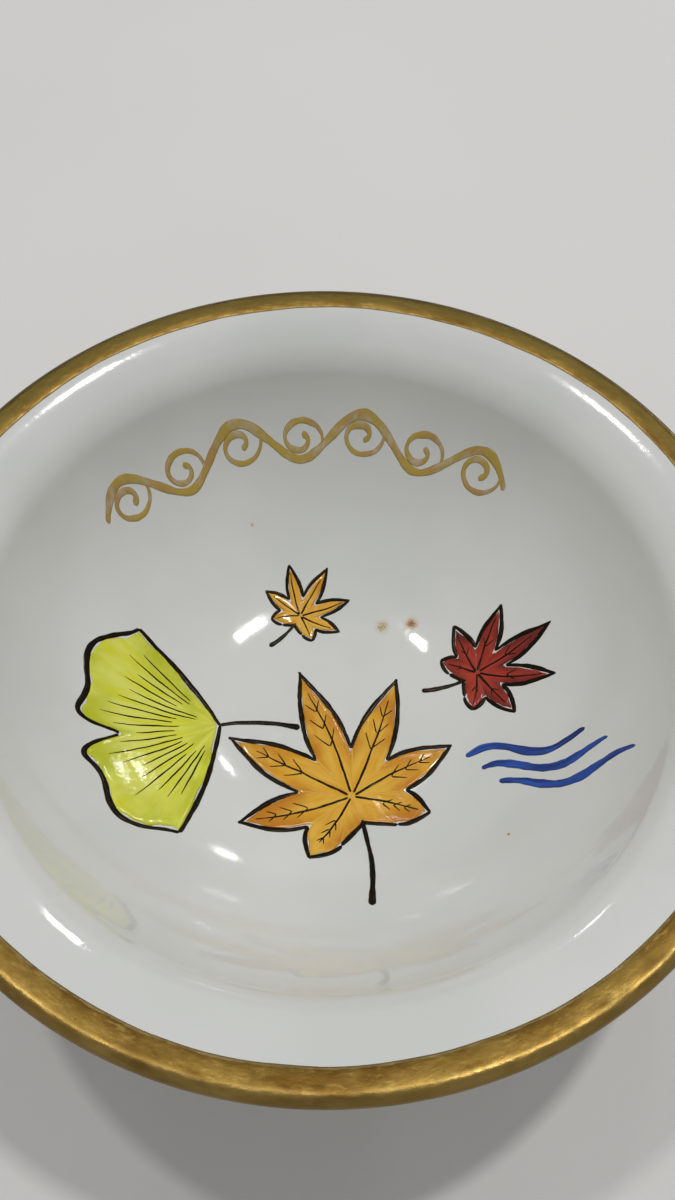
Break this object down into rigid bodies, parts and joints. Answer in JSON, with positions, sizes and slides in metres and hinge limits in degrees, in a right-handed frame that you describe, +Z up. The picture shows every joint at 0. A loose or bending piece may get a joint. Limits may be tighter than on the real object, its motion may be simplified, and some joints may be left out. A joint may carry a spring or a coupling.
{
  "type": "sake cup",
  "caption": "Round porcelain sake cup with a flared gilt lip, a deep bowl painted inside with autumn leaves in raised enamel and a low foot ring; holds a small drink.",
  "frame": {"origin": "centre of the plane the foot ring rests on", "axes": "+Z up along the axis of the bowl, -Y toward the drinker and the picture's camera, +X to the right"},
  "size_m": [0.088, 0.088, 0.0337],
  "materials": {
    "porcelain_body": "bare fired porcelain, fine matt",
    "white_glaze": "clear gloss glaze, cool white",
    "gilding": "worn dull gilding",
    "ochre_enamel": "gloss raised enamel",
    "yellow_enamel": "gloss raised enamel",
    "red_enamel": "gloss raised enamel",
    "blue_enamel": "gloss raised enamel",
    "black_enamel": "thin brown-black drawing enamel",
    "gold_paint": "thin brushed gold, satin"
  },
  "bodies": {
    "root": {"bowl": "porcelain_body", "foot_ring": "porcelain_body", "inside_glaze": "white_glaze", "outside_glaze": "white_glaze", "foot_well_glaze": "white_glaze", "lip_gilding": "gilding", "ochre_enamel": "ochre_enamel", "yellow_enamel": "yellow_enamel", "red_enamel": "red_enamel", "blue_enamel": "blue_enamel", "black_linework": "black_enamel", "gold_scroll": "gold_paint"}
  },
  "joints": []
}
